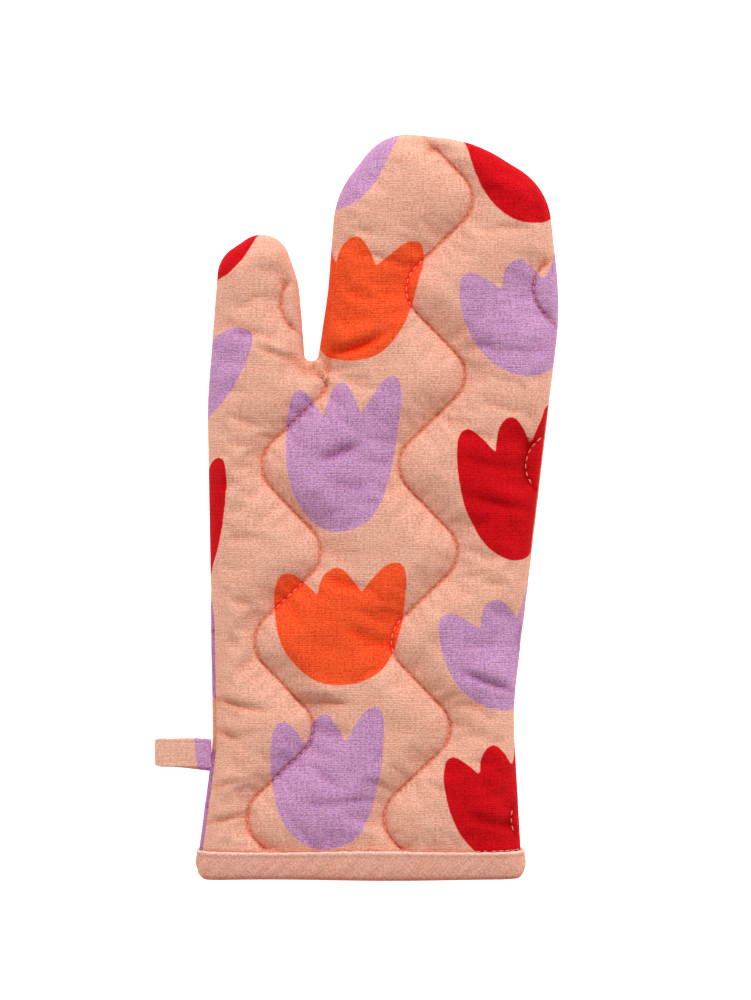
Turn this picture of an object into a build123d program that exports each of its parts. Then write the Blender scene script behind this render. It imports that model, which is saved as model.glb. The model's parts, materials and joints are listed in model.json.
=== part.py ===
from build123d import *
import os

# Quilted oven mitt, lying flat on its back panel.
# Fingers point to +Y, the thumb and the hanging loop to -X, and the front panel faces +Z.
# The origin is the centre of the bounding box on the surface that the mitt lies on.
# Every fabric layer is cut at the two fold lines, so that the finger part and the thumb
# can turn up towards the front panel about axes that lie on its face.

os.makedirs("parts", exist_ok=True)

# ---- Driving dimensions, in mm ----
LENGTH = 330.0
HEIGHT = 26.0
SIDE_ROUND = 12.4
OUTER_THICK = 0.8
WADDING_THICK = 4.0
LINING_THICK = 0.6
BODY_GAP = 0.3

MOUTH_Y = -LENGTH / 2
MID_Z = HEIGHT / 2

# Cuff binding: a folded strip that wraps the raw edge at the mouth.
BINDING_WIDTH = 12.9
BINDING_LEFT_X = -71.6
BINDING_RIGHT_X = 74.4
BINDING_OUTER_FOLD = 1.4
BINDING_INNER_FOLD = 0.8
BINDING_END_FOLD = 1.0
BINDING_TOP_Y = MOUTH_Y + BINDING_WIDTH
CUFF_WADDING_THICK = 1.8

# Fold lines: the fingers turn about FOLD_Y, the thumb about the line from the crotch
# of the thumb to its base at the outer side seam.
FOLD_Y = 92.0
CROTCH = (-20.2, 64.6)
THUMB_BASE = (-80.0, 20.35)

# Hanging loop: one folded tape, sewn into the side seam at its root.
LOOP_TAPE_WIDTH = 14.6
LOOP_TAPE_THICK = 1.2
LOOP_CENTRE_Y = -109.9
LOOP_ROOT_X = -66.6
LOOP_TIP_X = -89.6
LOOP_EYE_RADIUS = 2.7

# Quilting: rounded zigzag rows that run from the cuff to the finger tips.
QUILT_SPACING = 60.5
QUILT_PERIOD = 77.9
QUILT_LEAN = 0.042
QUILT_PEAK = 19.5
QUILT_ROUND = 14.0
QUILT_FRONT_START = (-29.0, 57.2)
QUILT_BACK_START = (-8.0, 36.0)
QUILT_FRONT_ROWS = range(0, 3)
QUILT_BACK_ROWS = range(-1, 2)
QUILT_STEPS = range(-7, 5)
THREAD_WIDTH = 0.8
THREAD_DEPTH = 0.5

# Sewing threads in the side seam and beside the binding.
SEAM_THREAD_WIDTH = 0.7
BINDING_THREAD_WIDTH = 0.6
BINDING_THREAD_DEPTH = 0.4

# Outline of the mitt at its side seam: x, y and the corner's radius, counter-clockwise.
# The first and last points lie below the mouth, where the outline is cut off square.
OUTLINE = [
    (75.0, -185.0, 0),
    (69.5, -90.0, 150),
    (90.6, 88.0, 150),
    (84.8, 141.6, 30),
    (52.0, 161.9, 60),
    (12.0, 166.4, 24),
    (-10.0, 138.0, 40),
    (-13.2, 95.0, 200),
    (-17.8, 64.6, 2.3),
    (-22.6, 64.6, 2.3),
    (-26.0, 98.0, 40),
    (-35.2, 126.1, 13),
    (-61.6, 110.3, 15),
    (-66.6, 45.0, 200),
    (-63.9, -106.0, 100),
    (-76.5, -185.0, 0),
]
CUT_OFF_Y = -185.0
FAR = 250.0


def block(x_low, x_high, y_low, y_high, z_low, z_high):
    """A box between two corners."""
    size = (x_high - x_low, y_high - y_low, z_high - z_low)
    middle = ((x_low + x_high) / 2, (y_low + y_high) / 2, (z_low + z_high) / 2)
    return Pos(*middle) * Box(*size)


def outline_face():
    """The mitt's outline at the side seam."""
    corners = [(x, y) for x, y, _ in OUTLINE]
    radii = [radius for _, _, radius in OUTLINE]
    return make_face(FilletPolyline(*corners, radius=radii, close=True))


def hand_form(inset):
    """The mitt's rounded form, moved inwards everywhere by inset."""
    face = outline_face()
    if inset:
        face = offset(face, amount=-inset, kind=Kind.INTERSECTION)
    form = extrude(face, HEIGHT - 2 * inset)
    rims = [edge for edge in form.edges().filter_by(Axis.Z, reverse=True)
            if edge.center().Y > CUT_OFF_Y + inset + 1]
    return Pos(0, 0, inset) * fillet(rims, SIDE_ROUND - inset)


def cuff_form(inset):
    """The straight cuff inside the binding, moved inwards by inset."""
    width = BINDING_RIGHT_X - BINDING_LEFT_X - 2 * inset
    section = RectangleRounded(width, HEIGHT - 2 * inset, SIDE_ROUND - inset)
    middle_x = (BINDING_LEFT_X + BINDING_RIGHT_X) / 2
    place = Plane(origin=(middle_x, -FAR, MID_Z), x_dir=(1, 0, 0), z_dir=(0, 1, 0))
    return extrude(place * section, 2 * FAR)


def above(shape, y):
    return shape & block(-FAR, FAR, y, FAR, -FAR, FAR)


def below(shape, y):
    return shape & block(-FAR, FAR, -FAR, y, -FAR, FAR)


def layered_form(hand_inset, cuff_inset, step_y):
    """The hand's form above step_y, joined to the cuff's form below it."""
    hand = above(hand_form(hand_inset), step_y)
    cuff = below(above(cuff_form(cuff_inset), MOUTH_Y + BINDING_END_FOLD), step_y)
    return hand + cuff


def zigzag(start, row):
    """Centre line of one quilting row; start is a right-hand peak of row 0."""
    points = []
    for step in QUILT_STEPS:
        y = start[1] + step * QUILT_PERIOD / 2
        side = QUILT_PEAK if step % 2 == 0 else -QUILT_PEAK
        points.append((start[0] + row * QUILT_SPACING + QUILT_LEAN * y + side, y))
    return FilletPolyline(*points, radius=QUILT_ROUND)


def quilting_prism(start, rows):
    """Upright walls one thread wide along every quilting row."""
    walls = [extrude(trace(zigzag(start, row), THREAD_WIDTH), HEIGHT) for row in rows]
    return Part() + walls


def fingers_zone(gap):
    return block(CROTCH[0], FAR, FOLD_Y + gap, FAR, -FAR, FAR)


def thumb_zone(gap):
    along = Vector(*THUMB_BASE) - Vector(*CROTCH)
    shift = Vector(along.Y, -along.X).normalized() * gap
    crotch = Vector(*CROTCH) + shift
    base = Vector(*THUMB_BASE) + shift
    corners = [(crotch.X, crotch.Y), (base.X, base.Y), (-FAR, base.Y), (-FAR, FAR), (crotch.X, FAR)]
    return Pos(0, 0, -FAR) * extrude(make_face(Polyline(*corners, close=True)), 2 * FAR)


def palm_zone(gap):
    whole = block(-FAR, FAR, -FAR, FAR, -FAR, FAR)
    return whole - fingers_zone(-gap) - thumb_zone(-gap)


FRONT = block(-FAR, FAR, -FAR, FAR, MID_Z, FAR)
BACK = block(-FAR, FAR, -FAR, FAR, -FAR, MID_Z)
ZONES = {
    "palm": palm_zone(BODY_GAP / 2),
    "fingers": fingers_zone(BODY_GAP / 2),
    "thumb": thumb_zone(BODY_GAP / 2),
}


def save(name, shape):
    export_step(Compound(children=list(shape.solids())), f"parts/{name}.step")


def save_zones(name, shape):
    for zone, region in ZONES.items():
        save(f"{name}_{zone}", shape & region)


def save_sides_and_zones(name, shape):
    save_zones(f"{name}_front", shape & FRONT)
    save_zones(f"{name}_back", shape & BACK)


def fabric_layers():
    """Outer fabric, wadding and lining, each one between two nested forms."""
    wadding_inset = OUTER_THICK
    lining_inset = wadding_inset + WADDING_THICK
    hollow_inset = lining_inset + LINING_THICK
    cuff_outer = BINDING_OUTER_FOLD
    cuff_wadding = cuff_outer + OUTER_THICK
    cuff_lining = cuff_wadding + CUFF_WADDING_THICK
    cuff_hollow = cuff_lining + LINING_THICK
    outside = layered_form(0, cuff_outer, BINDING_TOP_Y)
    wadding_form = layered_form(wadding_inset, cuff_wadding, BINDING_TOP_Y + OUTER_THICK)
    lining_form = layered_form(lining_inset, cuff_lining, BINDING_TOP_Y + LINING_THICK)
    hollow = layered_form(hollow_inset, cuff_hollow, BINDING_TOP_Y)
    return outside - wadding_form, wadding_form - lining_form, lining_form - hollow


def cuff_binding():
    """A U-shaped strip round the mouth, over both faces of the layers."""
    strip = below(above(cuff_form(0), MOUTH_Y), BINDING_TOP_Y)
    inner_inset = BINDING_OUTER_FOLD + OUTER_THICK + CUFF_WADDING_THICK + LINING_THICK
    layers = above(cuff_form(BINDING_OUTER_FOLD), MOUTH_Y + BINDING_END_FOLD)
    layers = layers - cuff_form(inner_inset)
    return strip - layers - cuff_form(inner_inset + BINDING_INNER_FOLD)


def hanging_loop():
    """A folded tape that stands open as an eye at its tip."""
    tip_radius = LOOP_EYE_RADIUS + LOOP_TAPE_THICK
    centre_x = LOOP_TIP_X + tip_radius

    def teardrop(radius, root_x, root_half):
        ring = Pos(centre_x, MID_Z) * Circle(radius)
        root = Pos(root_x - root_half, MID_Z) * Circle(root_half)
        return make_hull((ring + root).edges())

    section = teardrop(tip_radius, LOOP_ROOT_X, LOOP_TAPE_THICK)
    section -= teardrop(LOOP_EYE_RADIUS, LOOP_ROOT_X - 2 * LOOP_TAPE_THICK, 0.2)
    place = Plane(origin=(0, LOOP_CENTRE_Y + LOOP_TAPE_WIDTH / 2, 0), x_dir=(1, 0, 0), z_dir=(0, -1, 0))
    return extrude(place * section, LOOP_TAPE_WIDTH)


def side_seam_thread(wadding):
    """The stitching that closes the side seam, between the outer fabric and the wadding."""
    low = MID_Z - SEAM_THREAD_WIDTH / 2
    slab = block(-FAR, FAR, BINDING_TOP_Y + 2, FAR, low, low + SEAM_THREAD_WIDTH)
    ring = hand_form(OUTER_THICK) - hand_form(OUTER_THICK + SEAM_THREAD_WIDTH)
    return ring & slab & wadding


def main():
    outer, wadding, lining = fabric_layers()

    skin = above(hand_form(0) - hand_form(THREAD_DEPTH), BINDING_TOP_Y + BINDING_THREAD_WIDTH)
    front_rows = quilting_prism(QUILT_FRONT_START, QUILT_FRONT_ROWS) & skin & FRONT
    back_rows = quilting_prism(QUILT_BACK_START, QUILT_BACK_ROWS) & skin & BACK

    ditch = hand_form(0) - hand_form(BINDING_THREAD_DEPTH)
    ditch = below(above(ditch, BINDING_TOP_Y), BINDING_TOP_Y + BINDING_THREAD_WIDTH)
    seam = side_seam_thread(wadding)

    save_sides_and_zones("outer", outer - front_rows - back_rows - ditch)
    save_sides_and_zones("wadding", wadding - seam)
    save_sides_and_zones("lining", lining)
    save_zones("quilting_front", front_rows)
    save_zones("quilting_back", back_rows)
    save_zones("side_seam", seam)
    save("binding_stitching", ditch)
    save("cuff_binding", cuff_binding())
    save("hanging_loop", hanging_loop())


main()
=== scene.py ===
import json
import math

import bpy
import numpy as np
from mathutils.geometry import delaunay_2d_cdt
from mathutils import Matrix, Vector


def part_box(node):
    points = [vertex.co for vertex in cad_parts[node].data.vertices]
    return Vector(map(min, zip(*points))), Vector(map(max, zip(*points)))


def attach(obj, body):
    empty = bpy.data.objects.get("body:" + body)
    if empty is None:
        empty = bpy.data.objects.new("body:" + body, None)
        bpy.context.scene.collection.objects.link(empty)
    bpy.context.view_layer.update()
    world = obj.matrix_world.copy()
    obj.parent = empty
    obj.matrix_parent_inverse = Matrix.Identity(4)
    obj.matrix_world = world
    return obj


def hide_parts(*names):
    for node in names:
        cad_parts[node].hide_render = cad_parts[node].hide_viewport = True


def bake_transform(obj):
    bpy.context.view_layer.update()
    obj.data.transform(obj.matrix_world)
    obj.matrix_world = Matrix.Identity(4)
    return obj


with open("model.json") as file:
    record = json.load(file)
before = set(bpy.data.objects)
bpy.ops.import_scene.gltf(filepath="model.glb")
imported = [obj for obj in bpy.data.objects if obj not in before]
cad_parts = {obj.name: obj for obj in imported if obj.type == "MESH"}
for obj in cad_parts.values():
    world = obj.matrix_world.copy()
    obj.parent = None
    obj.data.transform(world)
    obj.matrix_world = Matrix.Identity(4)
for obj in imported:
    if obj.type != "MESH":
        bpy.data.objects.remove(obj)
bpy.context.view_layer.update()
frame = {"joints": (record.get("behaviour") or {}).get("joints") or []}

# Quilted oven mitt. All lengths below are in mm; every mesh is scaled to metres when it
# is made. Front is the panel that faces +Z, back is the one that the mitt lies on.

MM = 0.001
SEED = 7

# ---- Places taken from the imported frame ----


def box_mm(node):
    low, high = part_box(node)
    return np.array(low) / MM, np.array(high) / MM


cuff_low, cuff_high = box_mm("cuff_binding")
loop_low, loop_high = box_mm("hanging_loop")
MOUTH_Y, BINDING_TOP = cuff_low[1], cuff_high[1]
CUFF_LEFT, CUFF_RIGHT = cuff_low[0], cuff_high[0]
HEIGHT = cuff_high[2]
MID_Z = HEIGHT / 2
joints = {joint["name"]: joint for joint in frame["joints"]}
FINGER_AXIS = np.array(joints["finger_fold"]["pos_m"]) / MM
THUMB_AXIS = np.array(joints["thumb_fold"]["pos_m"]) / MM
THUMB_LINE = np.array(joints["thumb_fold"]["axis"])[:2]
THUMB_OUT = np.array([-THUMB_LINE[1], THUMB_LINE[0]])

# ---- Shape of the mitt ----

SIDE_ROUND = 12.4          # radius of the rounded sides, in plan
FRONT_SINK = 1.3           # how far the front panel lies below the full height
SEAM_PINCH = 1.1           # how far the side seam is pulled in between the two panels
OUTER_THICK = 0.6
WADDING_DEPTH = 1.0        # from the fabric's face to the wadding
WADDING_END = 4.6          # and to the wadding's far side
LINING_DEPTH = 4.9
LINING_THICK = 0.4
BINDING_FOLD = 1.4         # thickness of the binding over the outer fabric
# Depth of each layer below the outer face, in the hand and where the binding holds them.
OPEN_INSETS = (0.0, WADDING_DEPTH, WADDING_END, LINING_DEPTH)
BOUND_INSETS = (1.5, 2.3, 3.8, 3.95)
FABRIC_END = MOUTH_Y + 1.6
LEFT_CORNER, RIGHT_CORNER = 3.6, 1.6   # radii of the mouth's edge at its ends

# Side seam: x, y and corner radius, counter-clockwise from the cuff's right end.
SEAM_CORNERS = [
    (CUFF_RIGHT - BINDING_FOLD, -175.0, 0),
    (CUFF_RIGHT - BINDING_FOLD, BINDING_TOP - 1, 20),
    (69.5, -90.0, 150),
    (90.6, 88.0, 150),
    (84.8, 141.6, 30),
    (52.0, 161.9, 60),
    (12.0, 166.4, 24),
    (-10.0, 138.0, 40),
    (-13.2, 95.0, 200),
    (-17.8, 64.6, 2.3),
    (-22.6, 64.6, 2.3),
    (-25.4, 99.0, 40),
    (-35.4, 127.8, 13),
    (-61.6, 110.3, 15),
    (-66.6, 45.0, 200),
    (-63.9, -106.0, 100),
    (CUFF_LEFT + BINDING_FOLD, BINDING_TOP - 1, 20),
    (CUFF_LEFT + BINDING_FOLD, -175.0, 0),
]
CROTCH = np.array([-20.2, 64.6])

# Quilting: rounded zigzag rows; the start is a right-hand peak of row 0.
QUILT_SPACING = 60.5
QUILT_PERIOD = 77.9
QUILT_LEAN = 0.042
QUILT_PEAK = 19.5
QUILT_ROUND = 14.0
QUILT_START = {"front": (-29.0, 57.2), "back": (-8.0, 36.0)}
QUILT_ROWS = {"front": range(0, 3), "back": range(-1, 2)}
QUILT_TURNS = range(-7, 5)
STITCH = 3.4
# On the front, the row on the thumb is drawn inwards above the crotch and stops early. The
# one at the hand's outer edge is drawn inwards.
THUMB_ROW_SHIFT = (5.0, -6.0)
THUMB_ROW_EASE = (7, 18)   # from the crotch to where the shift starts, and its run-in
THUMB_ROW_END = 99.0
EDGE_ROW_SHIFT = -4.4

# Folds pressed into the front panel: x and y of both ends, depth and width.
FRONT_CREASES = [
    (-22.0, 70.5, -11.0, 50.0, 2.6, 1.5),
    (-47.0, 72.0, -21.0, 63.5, 1.2, 1.9),
    (-14.0, 67.0, 14.0, 76.5, 1.9, 3.4),
    (-19.0, 20.0, 3.0, 29.0, 1.9, 3.8),
    (-14.0, 12.0, 8.0, 8.0, 0.8, 4.0),
    (44.0, 7.0, 86.0, -2.0, 1.1, 3.6),
    (-82.0, -77.0, -34.0, -91.0, 1.6, 3.0),
    (-80.0, -86.0, -48.0, -106.0, 1.5, 2.8),
    (-84.0, -138.5, -42.0, -134.5, 1.3, 2.4),
    (-84.0, -123.0, -48.0, -120.0, 0.9, 2.6),
    (-34.0, -82.5, 2.0, -87.0, 1.1, 3.4),
    (-8.0, -52.0, 20.0, -63.0, 0.9, 3.6),
    (42.0, -70.0, 76.0, -82.5, 1.5, 3.0),
    (44.0, -133.0, 74.0, -143.0, 1.3, 3.8),
    (-32.0, -130.5, 10.0, -127.5, 0.8, 3.4),
    (42.0, 23.0, 82.0, 16.0, 0.6, 3.6),
    (26.0, 45.0, 54.0, 35.0, 0.8, 4.0),
]
BACK_CREASES = [
    (-18.0, 64.0, -6.0, 50.0, 1.2, 2.4),
    (-60.0, -40.0, -34.0, -48.0, 1.2, 3.0),
    (20.0, 10.0, 60.0, -2.0, 1.0, 3.4),
    (30.0, -110.0, 66.0, -118.0, 1.2, 3.0),
]

CREASES = {"front": FRONT_CREASES, "back": BACK_CREASES}

# Printed tulips: colour, centre x and y, width, height, lean in degrees.
FRONT_TULIPS = [
    ("red", -68.0, 131.5, 52, 60, -8),
    ("lilac", -83.0, 63.5, 62, 46, -22),
    ("lilac", -9.5, 164.0, 52, 62, -14),
    ("orange", -3.5, 92.4, 56, 53, -13),
    ("red", 77.0, 156.5, 55, 60, 2),
    ("lilac", 75.4, 84.0, 56, 50, 6),
    ("lilac", -7.3, 22.5, 48, 64, -5),
    ("red", 70.3, 8.6, 49.5, 61.5, 2),
    ("red", -84.5, -8.0, 50, 54, -4),
    ("orange", -8.0, -52.0, 56, 50, -3),
    ("lilac", 65.6, -64.7, 54, 48, 7),
    ("lilac", -14.0, -120.5, 48, 58, -3),
    ("red", 63.5, -130.0, 47, 50, 5),
]
BACK_TULIPS = [
    ("orange", -30.0, 132.0, 50, 60, 6),
    ("red", 34.0, 118.0, 50, 62, -4),
    ("lilac", 86.0, 128.0, 52, 60, 4),
    ("lilac", -52.0, 66.0, 50, 60, 8),
    ("orange", 2.0, 44.0, 50, 62, -6),
    ("lilac", 62.0, 50.0, 48, 60, 4),
    ("red", -34.0, -12.0, 50, 60, 5),
    ("lilac", 28.0, -28.0, 52, 62, -4),
    ("lilac", 119.5, 8.0, 50, 60, 3),
    ("orange", 50.0, -62.0, 44, 58, 5),
    ("lilac", -84.0, -136.0, 50, 56, 2),
    ("lilac", -88.0, -68.0, 50, 44, 2),
    ("orange", -28.0, -84.0, 52, 58, -5),
    ("red", 30.0, -104.0, 50, 60, 4),
    ("lilac", -30.0, -146.0, 50, 58, 6),
]
INKS = ("lilac", "orange", "red")
INK_REACH = 6.0            # distances to a tulip's edge are cut off here


# ---- Plane geometry ----


def smooth(t):
    t = np.clip(t, 0, 1)
    return t * t * (3 - 2 * t)


def rounded_path(corners, step):
    """Points along a path of straight runs and arcs, about one step apart."""
    points = []
    for index, (x, y, radius) in enumerate(corners):
        here = np.array([x, y])
        if radius == 0:
            points.append(here)
            continue
        back = np.array(corners[index - 1][:2]) - here
        ahead = np.array(corners[(index + 1) % len(corners)][:2]) - here
        back /= np.linalg.norm(back)
        ahead /= np.linalg.norm(ahead)
        half = math.acos(np.clip(back @ ahead, -1, 1)) / 2
        centre = here + (back + ahead) / np.linalg.norm(back + ahead) * radius / math.sin(half)
        first = here + back * radius / math.tan(half) - centre
        last = here + ahead * radius / math.tan(half) - centre
        start = math.atan2(first[1], first[0])
        turn = math.atan2(last[1], last[0]) - start
        turn = (turn + math.pi) % (2 * math.pi) - math.pi
        count = max(3, round(abs(turn) * radius / step))
        for angle in np.linspace(start, start + turn, count + 1):
            points.append(centre + radius * np.array([math.cos(angle), math.sin(angle)]))
    return resample(np.array(points), step)


def resample(points, step):
    """The same open path with its points evenly spaced."""
    runs = np.linalg.norm(np.diff(points, axis=0), axis=1)
    along = np.concatenate([[0], np.cumsum(runs)])
    wanted = np.linspace(0, along[-1], max(2, round(along[-1] / step) + 1))
    return np.stack([np.interp(wanted, along, points[:, k]) for k in range(points.shape[1])], axis=1)


def left_normals(path):
    """Unit normals on the left of an open path."""
    run = np.gradient(path, axis=0)
    run /= np.linalg.norm(run, axis=1)[:, None]
    return np.stack([-run[:, 1], run[:, 0]], axis=1)


def nearest(points, samples):
    """Index of the nearest sample to every point, and its distance."""
    index = np.empty(len(points), int)
    distance = np.empty(len(points))
    for start in range(0, len(points), 2000):
        part = points[start:start + 2000]
        square = ((part[:, None, :] - samples[None, :, :]) ** 2).sum(axis=2)
        index[start:start + 2000] = square.argmin(axis=1)
        distance[start:start + 2000] = np.sqrt(square.min(axis=1))
    return index, distance


def inside(points, polygon):
    """Which points lie inside a closed polygon."""
    result = np.zeros(len(points), bool)
    x, y = points[:, 0], points[:, 1]
    for (x0, y0), (x1, y1) in zip(polygon, np.roll(polygon, -1, axis=0)):
        crosses = (y0 > y) != (y1 > y)
        if crosses.any():
            result ^= crosses & (x < (x1 - x0) * (y - y0) / (y1 - y0 + 1e-12) + x0)
    return result


def waves(points, lengths, seed, count=14):
    """Smooth random relief of about unit height, from a few sine waves."""
    rng = np.random.default_rng(seed)
    total = np.zeros(len(points))
    for _ in range(count):
        length = rng.uniform(*lengths)
        angle = rng.uniform(0, 2 * math.pi)
        phase = rng.uniform(0, 2 * math.pi)
        direction = np.array([math.cos(angle), math.sin(angle)]) * 2 * math.pi / length
        total += np.sin(points @ direction + phase)
    return total / math.sqrt(count / 2)


def seam_path(step):
    """The side seam from the cuff's right end round to its left end."""
    path = rounded_path(SEAM_CORNERS, step)
    path = path[path[:, 1] > FABRIC_END]
    right_end = np.array([[path[0, 0], FABRIC_END]])
    left_end = np.array([[path[-1, 0], FABRIC_END]])
    return np.concatenate([right_end, path, left_end])


def quilting_rows(side, step):
    """Every quilting row of one panel, each one a path across the whole panel."""
    start = QUILT_START[side]
    rows = []
    for row in QUILT_ROWS[side]:
        corners = []
        for turn in QUILT_TURNS:
            y = start[1] + turn * QUILT_PERIOD / 2
            peak = QUILT_PEAK if turn % 2 == 0 else -QUILT_PEAK
            x = start[0] + row * QUILT_SPACING + QUILT_LEAN * y + peak
            corners.append((x, y, QUILT_ROUND if turn in QUILT_TURNS[1:-1] else 0))
        path = rounded_path(corners, step)
        if side == "front":
            if row == 0:
                on_thumb = smooth((path[:, 1] - CROTCH[1] - THUMB_ROW_EASE[0]) / THUMB_ROW_EASE[1])
                path += on_thumb[:, None] * THUMB_ROW_SHIFT
                path = path[path[:, 1] < THUMB_ROW_END]
            if row == 2:
                path[:, 0] += EDGE_ROW_SHIFT
        rows.append(path)
    return rows


# ---- Panels ----

QUILT_VALLEY = {"front": (3.2, 16.0), "back": (2.2, 14.0)}   # depth and half width
# Where the seam is rolled towards the front: side, lowest and highest y, degrees.
SEAM_ROLLS = [(-1, -185.0, -30.0, 22.0), (1, -70.0, 60.0, 9.0)]
ROLL_EASE = 25             # over which each roll comes and goes
RIM_END = 56.0             # degrees round the side that are built as rings
# Mesh lines beside each quilting row and the free strip outside them, for panels whose
# points lie ROW_GAP apart; coarser panels spread them.
ROW_SHIFTS = (0, 0.55, -0.55, 1.25, -1.25, 2.2, -2.2)
ROW_CLEARANCE = 3.1
ROW_GAP = 1.5
FINE_STEP = 0.5            # between the samples that distances are measured from
seam_fine = seam_path(FINE_STEP)


def seam_distance(points):
    """Distance to the side seam and the outward direction to it."""
    index, distance = nearest(points, seam_fine)
    outward = seam_fine[index] - points
    outward /= np.maximum(np.linalg.norm(outward, axis=1), 1e-6)[:, None]
    return distance, outward


class Panel:
    """A flat mesh of one panel: rings round the side seam, triangles inside them."""

    def __init__(self, side, spacing):
        self.side = side
        self.up = 1 if side == "front" else -1
        self.seed = SEED if side == "front" else SEED + 50
        self.spacing = spacing
        self.rows_fine = quilting_rows(side, FINE_STEP)
        seam = seam_path(spacing * 0.75)
        outward = -left_normals(seam)
        outward[0] = (1, 0)
        outward[-1] = (-1, 0)
        arc = math.radians(RIM_END) * SIDE_ROUND
        ring_count = max(3, round(arc / spacing))
        angles = np.radians(np.linspace(0, RIM_END, ring_count + 1))
        depths = SIDE_ROUND * (1 - np.cos(angles))
        rings = [seam - outward * depth for depth in depths]
        inner_points, inner_faces = self.fill(rings[-1])
        extra = inner_points[len(seam):]
        distance, away = seam_distance(extra)
        self.plan = np.concatenate(rings + [extra])
        self.depth = np.concatenate([np.full(len(seam), depth) for depth in depths] + [distance])
        self.outward = np.concatenate([outward] * len(rings) + [away])
        faces = np.concatenate([self.ring_faces(len(seam), len(rings)),
                                inner_faces + len(seam) * (len(rings) - 1)])
        self.faces = faces[:, ::self.up]

    @staticmethod
    def ring_faces(width, rings):
        faces = []
        for ring in range(rings - 1):
            low = np.arange(width - 1) + ring * width
            faces.append(np.stack([low, low + 1, low + width + 1], axis=1))
            faces.append(np.stack([low, low + width + 1, low + width], axis=1))
        return np.concatenate(faces)

    def fill(self, border):
        """Triangles inside the last ring, with points along the quilting rows."""
        gap = self.spacing
        spread = max(1, gap / ROW_GAP)
        bottom = resample(np.array([border[-1], border[0]]), gap)[1:-1]
        polygon = np.concatenate([border, bottom])
        margin = SIDE_ROUND * (1 - math.cos(math.radians(RIM_END))) + 0.6 * gap
        row_samples = np.concatenate(self.rows_fine)
        beside_rows = []
        for row in self.rows_fine:
            path = resample(row, gap)
            normal = left_normals(path)
            for shift in ROW_SHIFTS:
                beside_rows.append(path + normal * shift * spread)
        beside_rows = np.concatenate(beside_rows)
        low, high = polygon.min(axis=0), polygon.max(axis=0)
        columns = np.arange(low[0], high[0], gap)
        lines = np.arange(low[1], high[1], gap * math.sqrt(0.75))
        grid = [(x + (index % 2) * gap / 2, y) for index, y in enumerate(lines) for x in columns]
        grid = np.array(grid)
        grid = grid[nearest(grid, row_samples)[1] > ROW_CLEARANCE * spread]
        points = np.concatenate([beside_rows, grid])
        points = points[inside(points, polygon)]
        points = points[seam_distance(points)[0] > margin]
        points = points[points[:, 1] > FABRIC_END + 0.6 * gap]
        everything = np.concatenate([polygon, points])
        loop = list(range(len(polygon)))
        edges = list(zip(loop, loop[1:] + loop[:1]))
        made = delaunay_2d_cdt([tuple(p) for p in everything.tolist()], edges, [], 1, 1e-4, True)
        places = np.array([tuple(v) for v in made[0]])
        triangles = np.array([list(face) for face in made[2]])
        triangles = triangles[inside(places[triangles].mean(axis=1), polygon)]
        order = np.full(len(everything), -1)
        for new, sources in enumerate(made[3]):
            for old in sources:
                order[old] = new
        first = order[:len(border)]
        kept = np.concatenate([first, np.setdiff1d(np.arange(len(places)), first)])
        rank = np.empty(len(places), int)
        rank[kept] = np.arange(len(kept))
        return places[kept], rank[triangles]


CREASE_BEND = 0.05         # how far a crease bows, as a share of its length
CREASE_FADE = 0.35         # share of its length over which each end fades out
FULL_CREASE = 2.0          # depth from which on the painted shade inside a crease is as dark as it gets


def crease_relief(points, creases):
    """A sharp valley with a soft ridge on its upper side, and how deep inside it a point is (for
    painted shade).
    """
    relief = np.zeros(len(points))
    inside_fold = np.zeros(len(points))
    for x0, y0, x1, y1, depth, width in creases:
        start, run = np.array([x0, y0]), np.array([x1 - x0, y1 - y0])
        length = np.linalg.norm(run)
        run /= length
        normal = np.array([-run[1], run[0]])
        if normal[1] < 0:
            normal = -normal
        along = (points - start) @ run / length
        bend = CREASE_BEND * length * np.sin(np.clip(along, 0, 1) * math.pi)
        across = ((points - start) @ normal + bend) / width
        fade = smooth(along / CREASE_FADE) * smooth((1 - along) / CREASE_FADE)
        valley = -np.exp(-(across / 0.55) ** 2)
        ridge = 0.75 * np.exp(-((across - 1.5) / 1.2) ** 2)
        relief += depth * fade * (valley + ridge)
        strength = min(1.0, depth / FULL_CREASE)
        inside_fold += strength * fade * np.exp(-((across + 0.1) / 0.42) ** 2)
    return relief, inside_fold


DITCH_WIDTH = 0.75
PUCKER_HEIGHT, PUCKER_REACH = 0.26, 2.6    # the pull of single stitches
DRAG_HEIGHT, DRAG_REACH = 0.24, 6.5        # wrinkles that run out from the row


def quilt_relief(panel):
    """Valleys along the quilting rows, the ditch of the stitches, and the puckers beside them."""
    depth, width = QUILT_VALLEY[panel.side]
    samples = np.concatenate(panel.rows_fine)
    normals = np.concatenate([left_normals(row) for row in panel.rows_fine])
    index, away = nearest(panel.plan, samples)
    hand = np.sign(((panel.plan - samples[index]) * normals[index]).sum(axis=1))
    pillow = -depth * np.clip(1 - away / width, 0, 1) ** 2.2 - 1.3 * np.exp(-away / 2.2)
    ditch = -0.55 * np.exp(-(away / DITCH_WIDTH) ** 2)
    along = index * FINE_STEP
    pull = np.sin(along * math.pi / STITCH + 2.2 * np.sin(along / 9.0) + hand)
    pucker = PUCKER_HEIGHT * pull * np.exp(-away / PUCKER_REACH)
    drag = np.sin(along / 1.9 + 2.6 * np.sin(along / 11.0 + hand) + 0.12 * away * np.sin(along / 17.0))
    drag += 0.8 * np.sin(along / 1.25 + 2.9 * np.sin(along / 7.0 - hand) - 0.1 * away)
    strength = 0.5 + 0.5 * np.sin(along / 14.0 + 2 * hand)
    pucker += DRAG_HEIGHT * strength * drag * np.exp(-away / DRAG_REACH)
    pucker *= 1 - np.exp(-(away / 0.9) ** 2)
    return pillow, ditch, pucker


def crotch_relief(points):
    """The front and back are drawn together where the thumb leaves the hand."""
    away = np.linalg.norm(points - CROTCH, axis=1)
    return -2.8 * np.exp(-(away / 9.0) ** 2)


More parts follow.
